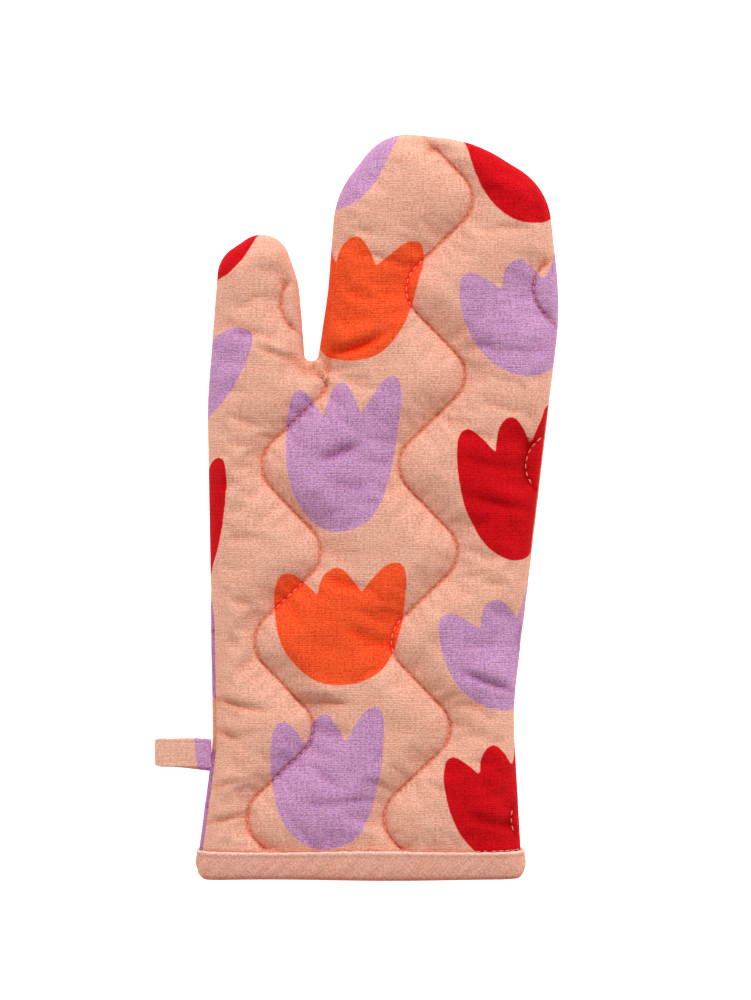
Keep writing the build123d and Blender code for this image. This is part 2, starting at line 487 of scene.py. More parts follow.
def seam_roll(points):
    """How far the side seam is rolled up onto the front, in radians."""
    x, y = points[:, 0], points[:, 1]
    roll = np.zeros(len(points))
    for side, low, high, degrees in SEAM_ROLLS:
        window = smooth((y - low) / ROLL_EASE) * smooth((high - y) / ROLL_EASE)
        roll += np.where(side * x > 0, window, 0) * math.radians(degrees)
    return roll


def binding_corner(x):
    """How far the rounded corners at the ends of the mouth raise its edge."""
    raised = np.zeros(np.shape(x))
    for end, radius, sign in ((CUFF_LEFT, LEFT_CORNER, 1), (CUFF_RIGHT, RIGHT_CORNER, -1)):
        reach = np.clip(radius - sign * (x - end), 0, radius)
        raised += radius - np.sqrt(radius ** 2 - reach ** 2)
    return raised


def inside_binding(plan, sideways, depth, tucked):
    """Keeps the layers' ends inside the folded binding."""
    x, y = plan.T
    x = x + (np.clip(x, CUFF_LEFT + depth, CUFF_RIGHT - depth) - x) * tucked
    y = np.maximum(y, FABRIC_END + binding_corner(x + sideways * (depth + 0.6)))
    return np.column_stack([x, y])


LIMIT_SOFTNESS = 0.5       # over which a height turns into its limit
FLAT_FROM = 7.0            # distance from the seam at which relief has its full height
SEAM_PINCH_REACH = 0.14    # how far the pinch of the side seam reaches
RIB_REACH = 9.0            # how far the ribs reach from the binding, and their spacing


def softly_above(values, least):
    """The values, kept above a least one with a soft turn."""
    return least + LIMIT_SOFTNESS * np.logaddexp(0, (values - least) / LIMIT_SOFTNESS)


def face_relief(panel):
    """Wrinkles and creases of the outer fabric, and the ribs where the binding gathers it."""
    x, y = panel.plan.T
    relief = 0.32 * waves(panel.plan, (26, 60), panel.seed)
    relief += 0.14 * waves(panel.plan, (9, 18), panel.seed + 1)
    relief += crease_relief(panel.plan, CREASES[panel.side])[0]
    rib = np.sin(x * 2 * math.pi / RIB_REACH + 1.5 * np.sin(x / 11.0))
    return relief + 0.3 * rib * smooth((BINDING_TOP + RIB_REACH - y) / RIB_REACH)


def layer(panel, inset, detail):
    """The panel's surface in 3D, inset mm inside the outer fabric's face."""
    reach = np.clip(panel.depth, 0, SIDE_ROUND)
    angle = np.arccos(1 - reach / SIDE_ROUND)
    roll = panel.up * seam_roll(panel.plan)
    angle = roll + angle * (1 - roll / (math.pi / 2))
    cos_angle = np.cos(angle)
    moved = SIDE_ROUND * (1 - cos_angle) - reach
    ramp = 2.2 if detail else 5.0
    tucked = smooth((BINDING_TOP + 0.45 * ramp - panel.plan[:, 1]) / ramp)
    depth = inset + (np.interp(inset, OPEN_INSETS, BOUND_INSETS) - inset) * tucked
    inwards = moved + (depth - BINDING_FOLD * tucked) * cos_angle
    flat = smooth(reach / FLAT_FROM)
    pillow, ditch, pucker = quilt_relief(panel)
    inner = 0.0 if detail else min(1.0, inset / 5.0)
    relief = pillow * (1 - 0.15 * inner) + crotch_relief(panel.plan)
    if detail:
        relief += ditch + pucker + face_relief(panel)
        ripple = 0.16 * waves(panel.plan, (7, 15), panel.seed + 2) * smooth(reach / 2) * (1 - flat)
        inwards = inwards + SEAM_PINCH * np.exp(-reach / SEAM_PINCH_REACH) + ripple
    plan = panel.plan - panel.outward * inwards[:, None]
    plan = inside_binding(plan, panel.outward[:, 0] * cos_angle, depth, tucked)
    if panel.side == "front":
        relief = relief - FRONT_SINK
    height = (MID_Z - depth) * np.sin(angle) + relief * flat * (1 - tucked)
    height = softly_above(height, (1.4 - 0.2 * depth) * flat - 9.0 * (1 - flat))
    if panel.side == "back":
        height = -softly_above(-height, depth + 0.02 - MID_Z)
    return np.column_stack([plan, MID_Z + panel.up * height])


SIM_SCALE = 0.01           # the simulation's units per mm
SIM_FRAMES = 24
SPARE_CLOTH = 0.024        # how much longer the fabric is than the panel that it covers
SIM_LIMIT = 2.2            # how far the simulation may move a point
HOLD_LEVELS = 20           # steps from a free point to a held one
CLOTH_SETTINGS = {
    "quality": 5,
    "mass": 0.3,
    "tension_stiffness": 25,
    "compression_stiffness": 25,
    "shear_stiffness": 12,
    "bending_stiffness": 0.8,
    "tension_damping": 10,
    "compression_damping": 10,
}


def settle(panel, surface):
    """Lets the spare cloth between the stitched rows buckle, with Blender's cloth simulation."""
    scene = bpy.context.scene
    mesh = bpy.data.meshes.new("settling")
    mesh.from_pydata((surface * SIM_SCALE).tolist(), [], panel.faces.tolist())
    piece = bpy.data.objects.new("settling", mesh)
    scene.collection.objects.link(piece)
    # Cloth is free away from the stitches, from the side seam and from the binding.
    away = nearest(panel.plan, np.concatenate(panel.rows_fine))[1]
    free = smooth((away - 0.5) / 1.5) * smooth((panel.depth - 3.0) / 5.0)
    free *= smooth((panel.plan[:, 1] - BINDING_TOP - 0.5) / 3.0)
    held = piece.vertex_groups.new(name="held")
    levels = np.round((1 - free) * HOLD_LEVELS).astype(int)
    for level in np.unique(levels):
        held.add(np.flatnonzero(levels == level).tolist(), level / HOLD_LEVELS, "REPLACE")
    cloth = piece.modifiers.new("cloth", "CLOTH")
    for name, value in CLOTH_SETTINGS.items():
        setattr(cloth.settings, name, value)
    cloth.settings.vertex_group_mass = "held"
    cloth.settings.shrink_min = -SPARE_CLOTH
    cloth.settings.effector_weights.gravity = -0.22
    cloth.collision_settings.use_collision = False
    cloth.point_cache.frame_start = 1
    cloth.point_cache.frame_end = SIM_FRAMES
    for moment in range(1, SIM_FRAMES + 1):
        scene.frame_set(moment)
    settled = piece.evaluated_get(bpy.context.evaluated_depsgraph_get())
    places = np.empty(len(surface) * 3)
    settled.data.vertices.foreach_get("co", places)
    shift = places.reshape(-1, 3) / SIM_SCALE - surface
    bpy.data.objects.remove(piece)
    scene.frame_set(1)
    size = np.linalg.norm(shift, axis=1)
    shift *= (np.minimum(size, SIM_LIMIT) / np.maximum(size, 1e-6))[:, None]
    return surface + shift * free[:, None]


# ---- Meshes ----


def unit_normals(points, faces):
    """Vertex normals of a triangle mesh, area weighted."""
    a, b, c = (points[faces[:, k]] for k in range(3))
    face_normals = np.cross(b - a, c - a)
    normals = np.zeros_like(points)
    for k in range(3):
        np.add.at(normals, faces[:, k], face_normals)
    return normals / np.maximum(np.linalg.norm(normals, axis=1), 1e-12)[:, None]


def directed_edges(faces):
    return np.concatenate([faces[:, [0, 1]], faces[:, [1, 2]], faces[:, [2, 0]]])


FULL_HOLLOW = 0.42         # how far below its surroundings a point is in the deepest folds


def hollows(points, faces, normals, rounds=3):
    """How hollow the surface is at each point, from 0 on flats and ridges to 1 in folds."""
    edges = directed_edges(faces)
    edges = np.concatenate([edges, edges[:, ::-1]])
    count = np.bincount(edges[:, 0], minlength=len(points))[:, None]

    def around(values):
        total = np.stack([np.bincount(edges[:, 0], values[edges[:, 1], k], len(points))
                          for k in range(values.shape[1])], axis=1)
        return total / np.maximum(count, 1)

    soft = points
    for _ in range(rounds):
        soft = around(soft)
    sunk = ((soft - points) * normals).sum(axis=1)[:, None]
    for _ in range(2):
        sunk = around(sunk)
    return smooth(sunk[:, 0] / FULL_HOLLOW)


def border_edges(faces):
    """Directed edges that belong to one face only."""
    seen = set(map(tuple, directed_edges(faces).tolist()))
    return np.array([(a, b) for a, b in seen if (b, a) not in seen])


def closed_shell(faces, count):
    """Outer faces, the same ones turned over with points count later, and the rim between."""
    a, b = border_edges(faces).T
    rim = np.concatenate([np.stack([b, a, a + count], axis=1),
                          np.stack([b, a + count, b + count], axis=1)])
    return np.concatenate([faces, faces[:, ::-1] + count, rim]), rim


def make_mesh(name, points, faces, normals=None, attributes=None):
    """A mesh object from points in mm; normals are one per corner, attributes one per point."""
    mesh = bpy.data.meshes.new(name)
    mesh.from_pydata((np.asarray(points) * MM).tolist(), [], [list(map(int, f)) for f in faces])
    mesh.polygons.foreach_set("use_smooth", [True] * len(mesh.polygons))
    for key, values in (attributes or {}).items():
        layer_data = mesh.attributes.new(key, "FLOAT_VECTOR", "POINT")
        layer_data.data.foreach_set("vector", np.asarray(values, np.float32).ravel())
    if normals is not None:
        mesh.normals_split_custom_set(np.asarray(normals).tolist())
    mesh.update()
    piece = bpy.data.objects.new(name, mesh)
    bpy.context.scene.collection.objects.link(piece)
    return piece


def thick_sheet(name, points, faces, normals, thickness, attributes):
    """A closed sheet: the given outer face, an inner face and the edge between them."""
    all_points = np.concatenate([points, points - normals * thickness])
    all_faces, rim = closed_shell(faces, len(points))
    a, b, c = (all_points[rim[:, k]] for k in range(3))
    rim_normals = np.cross(b - a, c - a)
    rim_normals /= np.maximum(np.linalg.norm(rim_normals, axis=1), 1e-9)[:, None]
    corner_normals = np.concatenate([
        normals[faces].reshape(-1, 3),
        -normals[faces[:, ::-1]].reshape(-1, 3),
        np.repeat(rim_normals, 3, axis=0)])
    doubled = {key: np.concatenate([values, values]) for key, values in attributes.items()}
    return make_mesh(name, all_points, all_faces, corner_normals, doubled)


def cut_out(faces, wanted, count):
    """The faces that are wanted and the points that they use, renumbered."""
    chosen = faces[wanted]
    used = np.unique(chosen)
    rank = np.full(count, -1)
    rank[used] = np.arange(len(used))
    return rank[chosen], used


def thumb_side(points):
    """Distance beyond the thumb's fold line; negative on the hand's side."""
    beyond = (points[:, :2] - THUMB_AXIS[:2]) @ THUMB_OUT
    return np.where(points[:, 0] < CROTCH[0], beyond, -50)


def tube(path, radius, sides=6):
    """Points and faces of a tube along a 3D path, with closed ends; radius may vary."""
    path = np.asarray(path, float)
    radius = np.broadcast_to(radius, len(path))
    run = np.gradient(path, axis=0)
    run /= np.linalg.norm(run, axis=1)[:, None]
    across = np.cross(run, (0, 0, 1))
    weak = np.linalg.norm(across, axis=1) < 1e-3
    across[weak] = (1, 0, 0)
    across /= np.linalg.norm(across, axis=1)[:, None]
    upward = np.cross(across, run)
    angles = np.linspace(0, 2 * math.pi, sides, endpoint=False)
    rings = [path + radius[:, None] * (math.cos(a) * across + math.sin(a) * upward) for a in angles]
    points = np.stack(rings, axis=1).reshape(-1, 3)
    faces = []
    for ring in range(len(path) - 1):
        for k in range(sides):
            low, high = ring * sides + k, ring * sides + (k + 1) % sides
            faces.append((low, low + sides, high + sides, high))
    last = (len(path) - 1) * sides
    faces.append(tuple(range(sides)))
    faces.append(tuple(last + k for k in reversed(range(sides))))
    return points, faces


def join_shapes(shapes):
    """Several (points, faces) pairs as one."""
    points, faces, offset = [], [], 0
    for shape_points, shape_faces in shapes:
        points.append(shape_points)
        faces += [tuple(index + offset for index in face) for face in shape_faces]
        offset += len(shape_points)
    return np.concatenate(points), faces


# ---- Print ----


def soften(chain, rounds=4):
    """Chaikin's corner cutting that keeps both ends."""
    for _ in range(rounds):
        quarter = chain[:-1] * 0.75 + chain[1:] * 0.25
        three = chain[:-1] * 0.25 + chain[1:] * 0.75
        cut = np.stack([quarter, three], axis=1).reshape(-1, 2)
        chain = np.concatenate([chain[:1], cut[1:-1], chain[-1:]])
    return chain


def tulip(x, y, width, height, lean):
    """A plain tulip: a round bowl and three short petals with sharp notches between them."""
    notch_right, notch_left = (0.16, 0.29), (-0.18, 0.24)
    bowl = [notch_right, (0.25, 0.43), (0.35, 0.56), (0.48, 0.58), (0.52, 0.38), (0.49, -0.10),
            (0.36, -0.42), (0.12, -0.53), (-0.14, -0.53), (-0.38, -0.34), (-0.51, 0.00),
            (-0.52, 0.36), (-0.42, 0.44), (-0.30, 0.36), notch_left]
    middle = [notch_left, (-0.15, 0.43), (-0.03, 0.52), (0.08, 0.42), notch_right]
    bowl_line = soften(np.array(bowl))
    middle_line = soften(np.array(middle))
    unit = np.concatenate([bowl_line[:-1], middle_line[:-1]]) * (width, height)
    angle = math.radians(lean)
    turn = np.array([[math.cos(angle), -math.sin(angle)], [math.sin(angle), math.cos(angle)]])
    return unit @ turn.T + (x, y)


def ink_distances(cloth, tulips):
    """For each ink, the signed distance to its nearest tulip's edge, positive inside."""
    result = np.full((len(cloth), len(INKS)), -INK_REACH)
    for ink, x, y, width, height, lean in tulips:
        outline = tulip(x, y, width, height, lean)
        closed = np.concatenate([outline, outline[:1]])
        samples = resample(closed, 0.3)
        near = np.abs(cloth - (x, y)).max(axis=1) < max(width, height) * 0.75 + INK_REACH
        near &= (cloth[:, 1] < CROTCH[1]) | ((cloth[:, 0] > CROTCH[0]) == (x > CROTCH[0]))
        if not near.any():
            continue
        distance = nearest(cloth[near], samples)[1]
        signed = np.where(inside(cloth[near], outline), distance, -distance)
        signed = np.clip(signed, -INK_REACH, INK_REACH)
        column = INKS.index(ink)
        result[near, column] = np.maximum(result[near, column], signed)
    return result


def cloth_coordinates(panel):
    """Where each point lies on the flat cloth before it was bent round the sides."""
    reach = np.clip(panel.depth, 0, SIDE_ROUND)
    angle = np.arccos(1 - reach / SIDE_ROUND)
    spare = SIDE_ROUND * (math.pi / 2 - angle) - (SIDE_ROUND - reach)
    return panel.plan + panel.outward * spare[:, None]


# ---- Materials ----


class Nodes:
    """Short calls for building a material's node tree."""

    def __init__(self, name, colour, roughness):
        self.material = bpy.data.materials.new(name)
        self.material.use_nodes = True
        self.tree = self.material.node_tree
        self.shader = self.tree.nodes["Principled BSDF"]
        self.set("Roughness", roughness)
        self.set("Base Color", (*colour, 1))
        self.set("Specular IOR Level", 0.25)
        self.material.diffuse_color = (*colour, 1)

    def set(self, name, value):
        self.shader.inputs[name].default_value = value

    def place(self):
        return self.tree.nodes.new("ShaderNodeTexCoord").outputs["Object"]

    def feed(self, socket, value):
        if isinstance(value, bpy.types.NodeSocket):
            self.tree.links.new(value, socket)
        else:
            socket.default_value = value

    def math(self, operation, a, b=0.0, c=0.0, clamp=False):
        node = self.tree.nodes.new("ShaderNodeMath")
        node.operation = operation
        node.use_clamp = clamp
        for socket, value in zip(node.inputs, (a, b, c)):
            self.feed(socket, value)
        return node.outputs[0]

    def times(self, a, b):
        return self.math("MULTIPLY", a, b)

    def times_plus(self, a, b, c, clamp=False):
        return self.math("MULTIPLY_ADD", a, b, c, clamp)

    def attribute(self, name):
        node = self.tree.nodes.new("ShaderNodeAttribute")
        node.attribute_name = name
        return node.outputs["Vector"]

    def split(self, vector):
        node = self.tree.nodes.new("ShaderNodeSeparateXYZ")
        self.feed(node.inputs[0], vector)
        return node.outputs

    def scale(self, vector, factors):
        node = self.tree.nodes.new("ShaderNodeVectorMath")
        node.operation = "MULTIPLY"
        self.feed(node.inputs[0], vector)
        node.inputs[1].default_value = factors
        return node.outputs[0]

    def noise(self, vector, scale, detail=2.0, roughness=0.5):
        node = self.tree.nodes.new("ShaderNodeTexNoise")
        self.feed(node.inputs["Vector"], vector)
        node.inputs["Scale"].default_value = scale
        node.inputs["Detail"].default_value = detail
        node.inputs["Roughness"].default_value = roughness
        return node.outputs["Fac"]

    def remap(self, value, low, high, to_low=0.0, to_high=1.0):
        node = self.tree.nodes.new("ShaderNodeMapRange")
        node.interpolation_type = "SMOOTHSTEP"
        self.feed(node.inputs["Value"], value)
        node.inputs["From Min"].default_value = low
        node.inputs["From Max"].default_value = high
        node.inputs["To Min"].default_value = to_low
        node.inputs["To Max"].default_value = to_high
        return node.outputs["Result"]

    def mix(self, factor, a, b, blend="MIX"):
        node = self.tree.nodes.new("ShaderNodeMix")
        node.data_type = "RGBA"
        node.blend_type = blend
        for name, value in (("Factor", factor), ("A", a), ("B", b)):
            socket = [s for s in node.inputs if s.name == name and s.enabled][0]
            if name != "Factor" and not isinstance(value, bpy.types.NodeSocket):
                value = (*value, 1) if len(value) == 3 else value
            self.feed(socket, value)
        return [s for s in node.outputs if s.enabled][0]

    def colour(self, value):
        self.feed(self.shader.inputs["Base Color"], value)

    def bump(self, height, distance, strength):
        node = self.tree.nodes.new("ShaderNodeBump")
        node.inputs["Strength"].default_value = strength
        node.inputs["Distance"].default_value = distance
        self.feed(node.inputs["Height"], height)
        self.tree.links.new(node.outputs["Normal"], self.shader.inputs["Normal"])


def srgb(red, green, blue):
    """A linear colour from an sRGB one of 0 to 255."""
    values = np.array([red, green, blue]) / 255
    return tuple(np.where(values <= 0.04045, values / 12.92, ((values + 0.055) / 1.055) ** 2.4))


PEACH = srgb(239, 183, 160)
LILAC = srgb(193, 145, 193)
ORANGE = srgb(255, 90, 44)
RED = srgb(203, 16, 26)
BINDING = srgb(232, 176, 156)
LOOP = srgb(242, 190, 168)
# painted highlight along the lip of the binding
LIP_HIGHLIGHT = srgb(255, 226, 210)
THREAD = srgb(240, 150, 124)
VALLEY_SHARE = 0.62        # how far painted shade deepens the cloth's colour between its threads
FOLD_SHARE = 0.85          # and how far painted shade deepens it in its folds
THREAD_WANDER = 0.7        # how unevenly the threads lie, in mm
PITCH = 0.72               # mm between neighbouring threads of the weave
WEFT_PITCH = 1.06          # the weft's pitch as a share of the warp's
WEAVE_RELIEF = 0.00018     # in metres, as the bump nodes need it
PLY_RELIEF = 0.00006
PLY_TURNS = (9000.0, 11000.0, 9000.0)      # radians per metre of the thread's twist, by axis


def weave(nodes, cloth, pitch):
    """Height of a plain weave, and the unevenness of the thread that is on top."""
    warp_slub = nodes.noise(nodes.scale(cloth, (1.35, 0.06, 1)), 1.0, 1.0)
    weft_slub = nodes.noise(nodes.scale(cloth, (0.07, 1.35, 1)), 1.0, 1.0)
    x, y, _ = nodes.split(cloth)
    x = nodes.times_plus(warp_slub, THREAD_WANDER, x)
    y = nodes.times_plus(weft_slub, THREAD_WANDER, y)
    wave_x = nodes.math("SINE", nodes.times(x, math.pi / pitch))
    wave_y = nodes.math("SINE", nodes.times(y, math.pi / (pitch * WEFT_PITCH)))
    warp = nodes.math("POWER", nodes.math("ABSOLUTE", wave_x), 0.6)
    weft = nodes.math("POWER", nodes.math("ABSOLUTE", wave_y), 0.6)
    over = nodes.times_plus(nodes.times(wave_x, wave_y), 2.2, 0.42, clamp=True)
    warp_high = nodes.times(warp, nodes.times_plus(weft, 0.4, 0.6))
    weft_high = nodes.times(weft, nodes.times_plus(warp, 0.25, 0.75))
    height = nodes.times_plus(nodes.math("SUBTRACT", warp_high, weft_high), over, weft_high)
    slub = nodes.times_plus(nodes.math("SUBTRACT", warp_slub, weft_slub), over, weft_slub)
    return height, slub


def woven(name, colour, pitch=PITCH, contrast=0.18, inks=False, shaded_folds=False, lit_lip=False):
    """Plain-weave cotton in one colour, or with the three printed inks over it."""
    nodes = Nodes(name, colour, 0.85)
    nodes.set("Sheen Weight", 0.05)
    nodes.set("Sheen Tint", (1.0, 0.55, 0.45, 1))
    nodes.set("Specular IOR Level", 0.02)
    nodes.set("Sheen Roughness", 0.5)
    cloth = nodes.attribute("cloth")
    height, slub = weave(nodes, cloth, pitch)
    speck = nodes.noise(nodes.scale(cloth, (0.85, 1.5, 1)), 1.0, 1.0, 0.7)
    patch = nodes.noise(cloth, 0.05, 2.0)
    tone = nodes.times_plus(slub, 0.3, nodes.times(speck, 0.7))
    # Painted shade between the threads and a painted highlight on their tops, from the weave's height,
    # times the threads' uneven tone and soft patches.
    shade = nodes.remap(height, 0.1, 0.9, 1.0 - contrast, 1.05)
    shade = nodes.times(shade, nodes.remap(tone, 0.38, 0.62, 0.58, 1.28))
    shade = nodes.times(shade, nodes.remap(patch, 0.3, 0.7, 0.97, 1.03))
    base = printed(nodes, colour, cloth, height, speck, slub) if inks else colour
    # painted shade in folds, creases, stitch ditches and along the side seam
    if shaded_folds:
        base = folded(nodes, base)
    # painted highlight along the binding's lip and painted shade round its lower fold
    if lit_lip:
        base = painted_lip_light(nodes, base)
    low = nodes.mix(nodes.remap(shade, 0.5, 1.0), deepened(nodes, base, VALLEY_SHARE), base)
    light = nodes.mix(1.0, base, (1.10, 1.16, 1.18), "MULTIPLY")
    nodes.colour(nodes.mix(nodes.remap(shade, 1.0, 1.2), low, light))
    fuzz = nodes.noise(cloth, 2.2, 2.0, 0.7)
    relief = nodes.times_plus(fuzz, 0.8, height)
    relief = nodes.times_plus(slub, 0.6, relief)
    nodes.bump(relief, WEAVE_RELIEF, 1.0)
    return nodes.material


def deepened(nodes, base, share):
    """The colour, moved by share towards what light keeps of it after two meetings with it."""
    return nodes.mix(share, base, nodes.mix(1.0, base, base, "MULTIPLY"))


def folded(nodes, base):
    """Painted shade in folds, in the ditch of the stitches, above the binding and at the side seam."""
    hollow, row, seam = nodes.split(nodes.attribute("painted_shade"))
    ditch = nodes.remap(row, 0.0, 1.2, 0.62, 0.0)
    edge = nodes.remap(seam, 0.0, 0.5, 0.6, 0.0)
    depth = nodes.times_plus(hollow, 0.9, nodes.math("ADD", ditch, edge), clamp=True)
    return nodes.mix(depth, base, deepened(nodes, base, FOLD_SHARE))


def painted_lip_light(nodes, base):
    """A painted highlight along the lip of the binding and painted shade round its lower fold."""
    lip, underside_shade, _ = nodes.split(nodes.attribute("edges"))
    base = nodes.mix(nodes.times(underside_shade, 0.8), base, deepened(nodes, base, 1.0))
    return nodes.mix(nodes.times(lip, 0.75), base, LIP_HIGHLIGHT)


def printed(nodes, base, cloth, height, speck, slub):
    """Lays the inks over the woven base: crisp edges that follow single threads."""
    ragged = nodes.times_plus(speck, 0.7, nodes.times(height, 0.35))
    ragged = nodes.math("SUBTRACT", ragged, 0.5)
    lilac, orange, red = nodes.split(nodes.attribute("ink"))
    bare = nodes.remap(nodes.noise(nodes.scale(cloth, (1.2, 1.8, 1)), 1.0, 1.0, 0.6), 0.48, 0.66)
    # painted shade between the threads and a painted highlight on their tops, with the thread's uneven
    # tone
    thread = nodes.remap(nodes.times_plus(slub, 0.6, height), 0.25, 1.0)
    for distance, colour, worn_off in ((lilac, LILAC, 0.55), (orange, ORANGE, 0.02), (red, RED, 0.0)):
        mask = nodes.remap(nodes.math("ADD", distance, ragged), -0.22, 0.22)
        mask = nodes.times(mask, nodes.times_plus(bare, -worn_off, 1.0))
        light = tuple(min(1.0, c * 1.16) for c in colour)
        deep = tuple(c * 0.70 for c in colour)
        ink = nodes.mix(thread, deep, light)
        base = nodes.mix(mask, base, ink)
    return base


def thread_material(name, colour):
    """Twisted sewing thread: fine diagonal ribs along its length."""
    nodes = Nodes(name, colour, 0.55)
    nodes.set("Sheen Weight", 0.2)
    place = nodes.place()
    x, y, z = nodes.split(place)
    ramp = nodes.math("ADD", nodes.times(x, PLY_TURNS[0]), nodes.times(y, PLY_TURNS[1]))
    ply = nodes.math("ABSOLUTE", nodes.math("SINE", nodes.times_plus(z, PLY_TURNS[2], ramp)))
    fuzz = nodes.noise(place, 4000.0, 1.0)
    # painted shade in the grooves between the plies, with random fuzz
    tone = nodes.times_plus(fuzz, 0.5, nodes.times(ply, 0.6))
    dark = tuple(c * 0.72 for c in colour)
    nodes.colour(nodes.mix(nodes.remap(tone, 0.2, 0.8), dark, colour))
    nodes.bump(ply, PLY_RELIEF, 0.8)
    return nodes.material


def wadding_material():
    """Felted cotton fibres: cloudy off-white with flecks."""
    nodes = Nodes("wadding", srgb(236, 230, 216), 0.95)
    place = nodes.place()
    cloud = nodes.noise(place, 120.0, 4.0, 0.6)
    fibre = nodes.noise(nodes.scale(place, (1, 3.5, 1)), 900.0, 3.0, 0.7)
    tone = nodes.times_plus(cloud, 0.5, nodes.times(fibre, 0.5))
    nodes.colour(nodes.mix(nodes.remap(tone, 0.3, 0.7), srgb(214, 204, 184), srgb(244, 240, 230)))
    nodes.bump(tone, 0.0006, 0.9)
    return nodes.material


printed_cloth = woven("printed_cloth", PEACH, inks=True, shaded_folds=True)
lining_cloth = woven("lining_cloth", srgb(238, 214, 196), pitch=0.55, contrast=0.20)
binding_cloth = woven("binding_cloth", BINDING, pitch=0.66, contrast=0.30, lit_lip=True)
loop_cloth = woven("loop_cloth", LOOP, pitch=0.66, inks=True)
wadding_cloth = wadding_material()
quilting_thread = thread_material("quilting_thread", THREAD)
sewing_thread = thread_material("sewing_thread", srgb(236, 170, 146))


# ---- Soft panels ----

WRAP = 14                  # the cloth that goes round both sides, beyond the plan
LEAST_FILL = 0.31          # least share of the flat cut's box that a piece fills


def bend_hand(piece):
    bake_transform(piece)


def bend_thumb(piece):
    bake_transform(piece)


def finish_piece(piece, part, material, nodes):
    """Material of one piece, its body if it is neither hand nor thumb, and its CAD stand-ins hidden."""
    piece.data.materials.append(material)
    if part == "hand":
        bend_hand(piece)
    elif part == "thumb":
        bend_thumb(piece)
    else:
        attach(piece, part)
    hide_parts(*nodes)


def nodes_of(layer_name, part):
    zones = ("palm", "fingers") if part == "hand" else ("thumb",)
    return [f"{layer_name}_{zone}" for zone in zones]


def parts_of(panel):
    """The hand part and the thumb part of a panel: name, faces and the points they use."""
    on_thumb = thumb_side(panel.plan)[panel.faces].mean(axis=1) > 0
    for part, wanted in (("hand", ~on_thumb), ("thumb", on_thumb)):
        yield part, *cut_out(panel.faces, wanted, len(panel.plan))


def flat_size(points):
    """Width and length of the flat cut, with the share that wraps round the sides."""
    size = (points[:, :2].max(axis=0) - points[:, :2].min(axis=0)) + WRAP
    return tuple(size * MM)


def face_attributes(panel, surface, normals, cloth):
    """Distances that the printed cloth's material reads: to the inks' edges and for its painted shade.
    """
    tulips = FRONT_TULIPS if panel.side == "front" else BACK_TULIPS
    row_distance = nearest(panel.plan, np.concatenate(panel.rows_fine))[1]
    # Painted shade follows these: hollows and creases, the stitched rows, the ditch above the binding
    # and the side seam.
    binding_distance = np.abs(panel.plan[:, 1] - BINDING_TOP - 0.1)
    fold = crease_relief(panel.plan, CREASES[panel.side])[1]
    hollow = np.maximum(hollows(surface, panel.faces, normals), fold)
    painted_shade = np.column_stack([hollow, np.minimum(row_distance, binding_distance * 0.7), panel.depth])
    return {"ink": ink_distances(cloth, tulips), "painted_shade": painted_shade}


def sheet_pieces(panel, name, surface, thickness, material):
    """One fabric layer of a panel as a hand piece and a thumb piece that meet exactly."""
    normals = unit_normals(surface, panel.faces)
    cloth = cloth_coordinates(panel)
    attributes = {"cloth": np.column_stack([cloth, np.zeros(len(cloth))])}
    if name == "outer":
        attributes |= face_attributes(panel, surface, normals, cloth)
    for part, faces, used in parts_of(panel):
        part_attributes = {key: values[used] for key, values in attributes.items()}
        piece = thick_sheet(f"{panel.side}_{name}_{part}", surface[used], faces,
                            normals[used], thickness, part_attributes)
        finish_piece(piece, part, material, nodes_of(f"{name}_{panel.side}", part))
        flat = flat_size(surface[used])
        area = surface_area(surface[used], faces)
        area = min(max(area, LEAST_FILL * flat[0] * flat[1]), flat[0] * flat[1])


def surface_area(points, faces):
    """Area in square metres of triangles with corners in mm."""
    a, b, c = (points[faces[:, k]] for k in range(3))
    return float(np.linalg.norm(np.cross(b - a, c - a), axis=1).sum() / 2 * MM * MM)


def wadding_pieces(panel):
    """The padding of one panel: a closed pad between the outer fabric and the lining."""
    sink = panel.cloth_face - layer(panel, 0, True)
    outer = layer(panel, WADDING_DEPTH, True) + sink
    inner = layer(panel, WADDING_END, False)
    for part, faces, used in parts_of(panel):
        points = np.concatenate([outer[used], inner[used]])
        piece = make_mesh(f"{panel.side}_wadding_{part}", points, closed_shell(faces, len(used))[0])
        finish_piece(piece, part, wadding_cloth, nodes_of(f"wadding_{panel.side}", part))


def surface_height(surface, places):
    """Height of a surface at plan places, from its three nearest points."""
    distances = ((places[:, None, :] - surface[None, :, :2]) ** 2).sum(axis=2)
    index = np.argpartition(distances, 3, axis=1)[:, :3]
    weight = 1 / (np.take_along_axis(distances, index, axis=1) + 0.01)
    return (surface[index, 2] * weight).sum(axis=1) / weight.sum(axis=1)


STITCH_MARGIN = 2.0        # no stitches closer than this to the side seam
STITCH_LIFT = np.array([-0.35, 0.16, 0.16, -0.35])


def stitch_pieces(panel):
    """Single quilting stitches that dip into the fabric at both ends."""
    rng = np.random.default_rng(SEED + 3)
    shapes = {"hand": [], "thumb": []}
    for row in panel.rows_fine:
        path = resample(row, STITCH / 4)
        usable = inside(path, seam_fine) & (nearest(path, seam_fine)[1] > STITCH_MARGIN)
        usable &= path[:, 1] > BINDING_TOP + 1.0
        height = surface_height(panel.cloth_face, path)
        for first in range(0, len(path) - 4, 4):
            part = slice(first, first + 4)
            if not usable[part].all():
                continue
            places = path[part] + rng.normal(0, 0.04, 2)
            line = np.column_stack([places, height[part] + panel.up * STITCH_LIFT])
            line = resample(line, 0.8)
            share = np.linspace(0, 1, len(line))
            shape = tube(line, np.interp(share, (0, 0.3, 0.7, 1), (0.2, 0.3, 0.3, 0.2)))
            zone = "thumb" if thumb_side(places[:1])[0] > 0 else "hand"
            shapes[zone].append(shape)
    for part, group in shapes.items():
        piece = make_mesh(f"{panel.side}_quilting_{part}", *join_shapes(group))
        nodes = nodes_of(f"quilting_{panel.side}", part)
        finish_piece(piece, part, quilting_thread, nodes)


SEAM_THREAD_DEPTH = 2.4


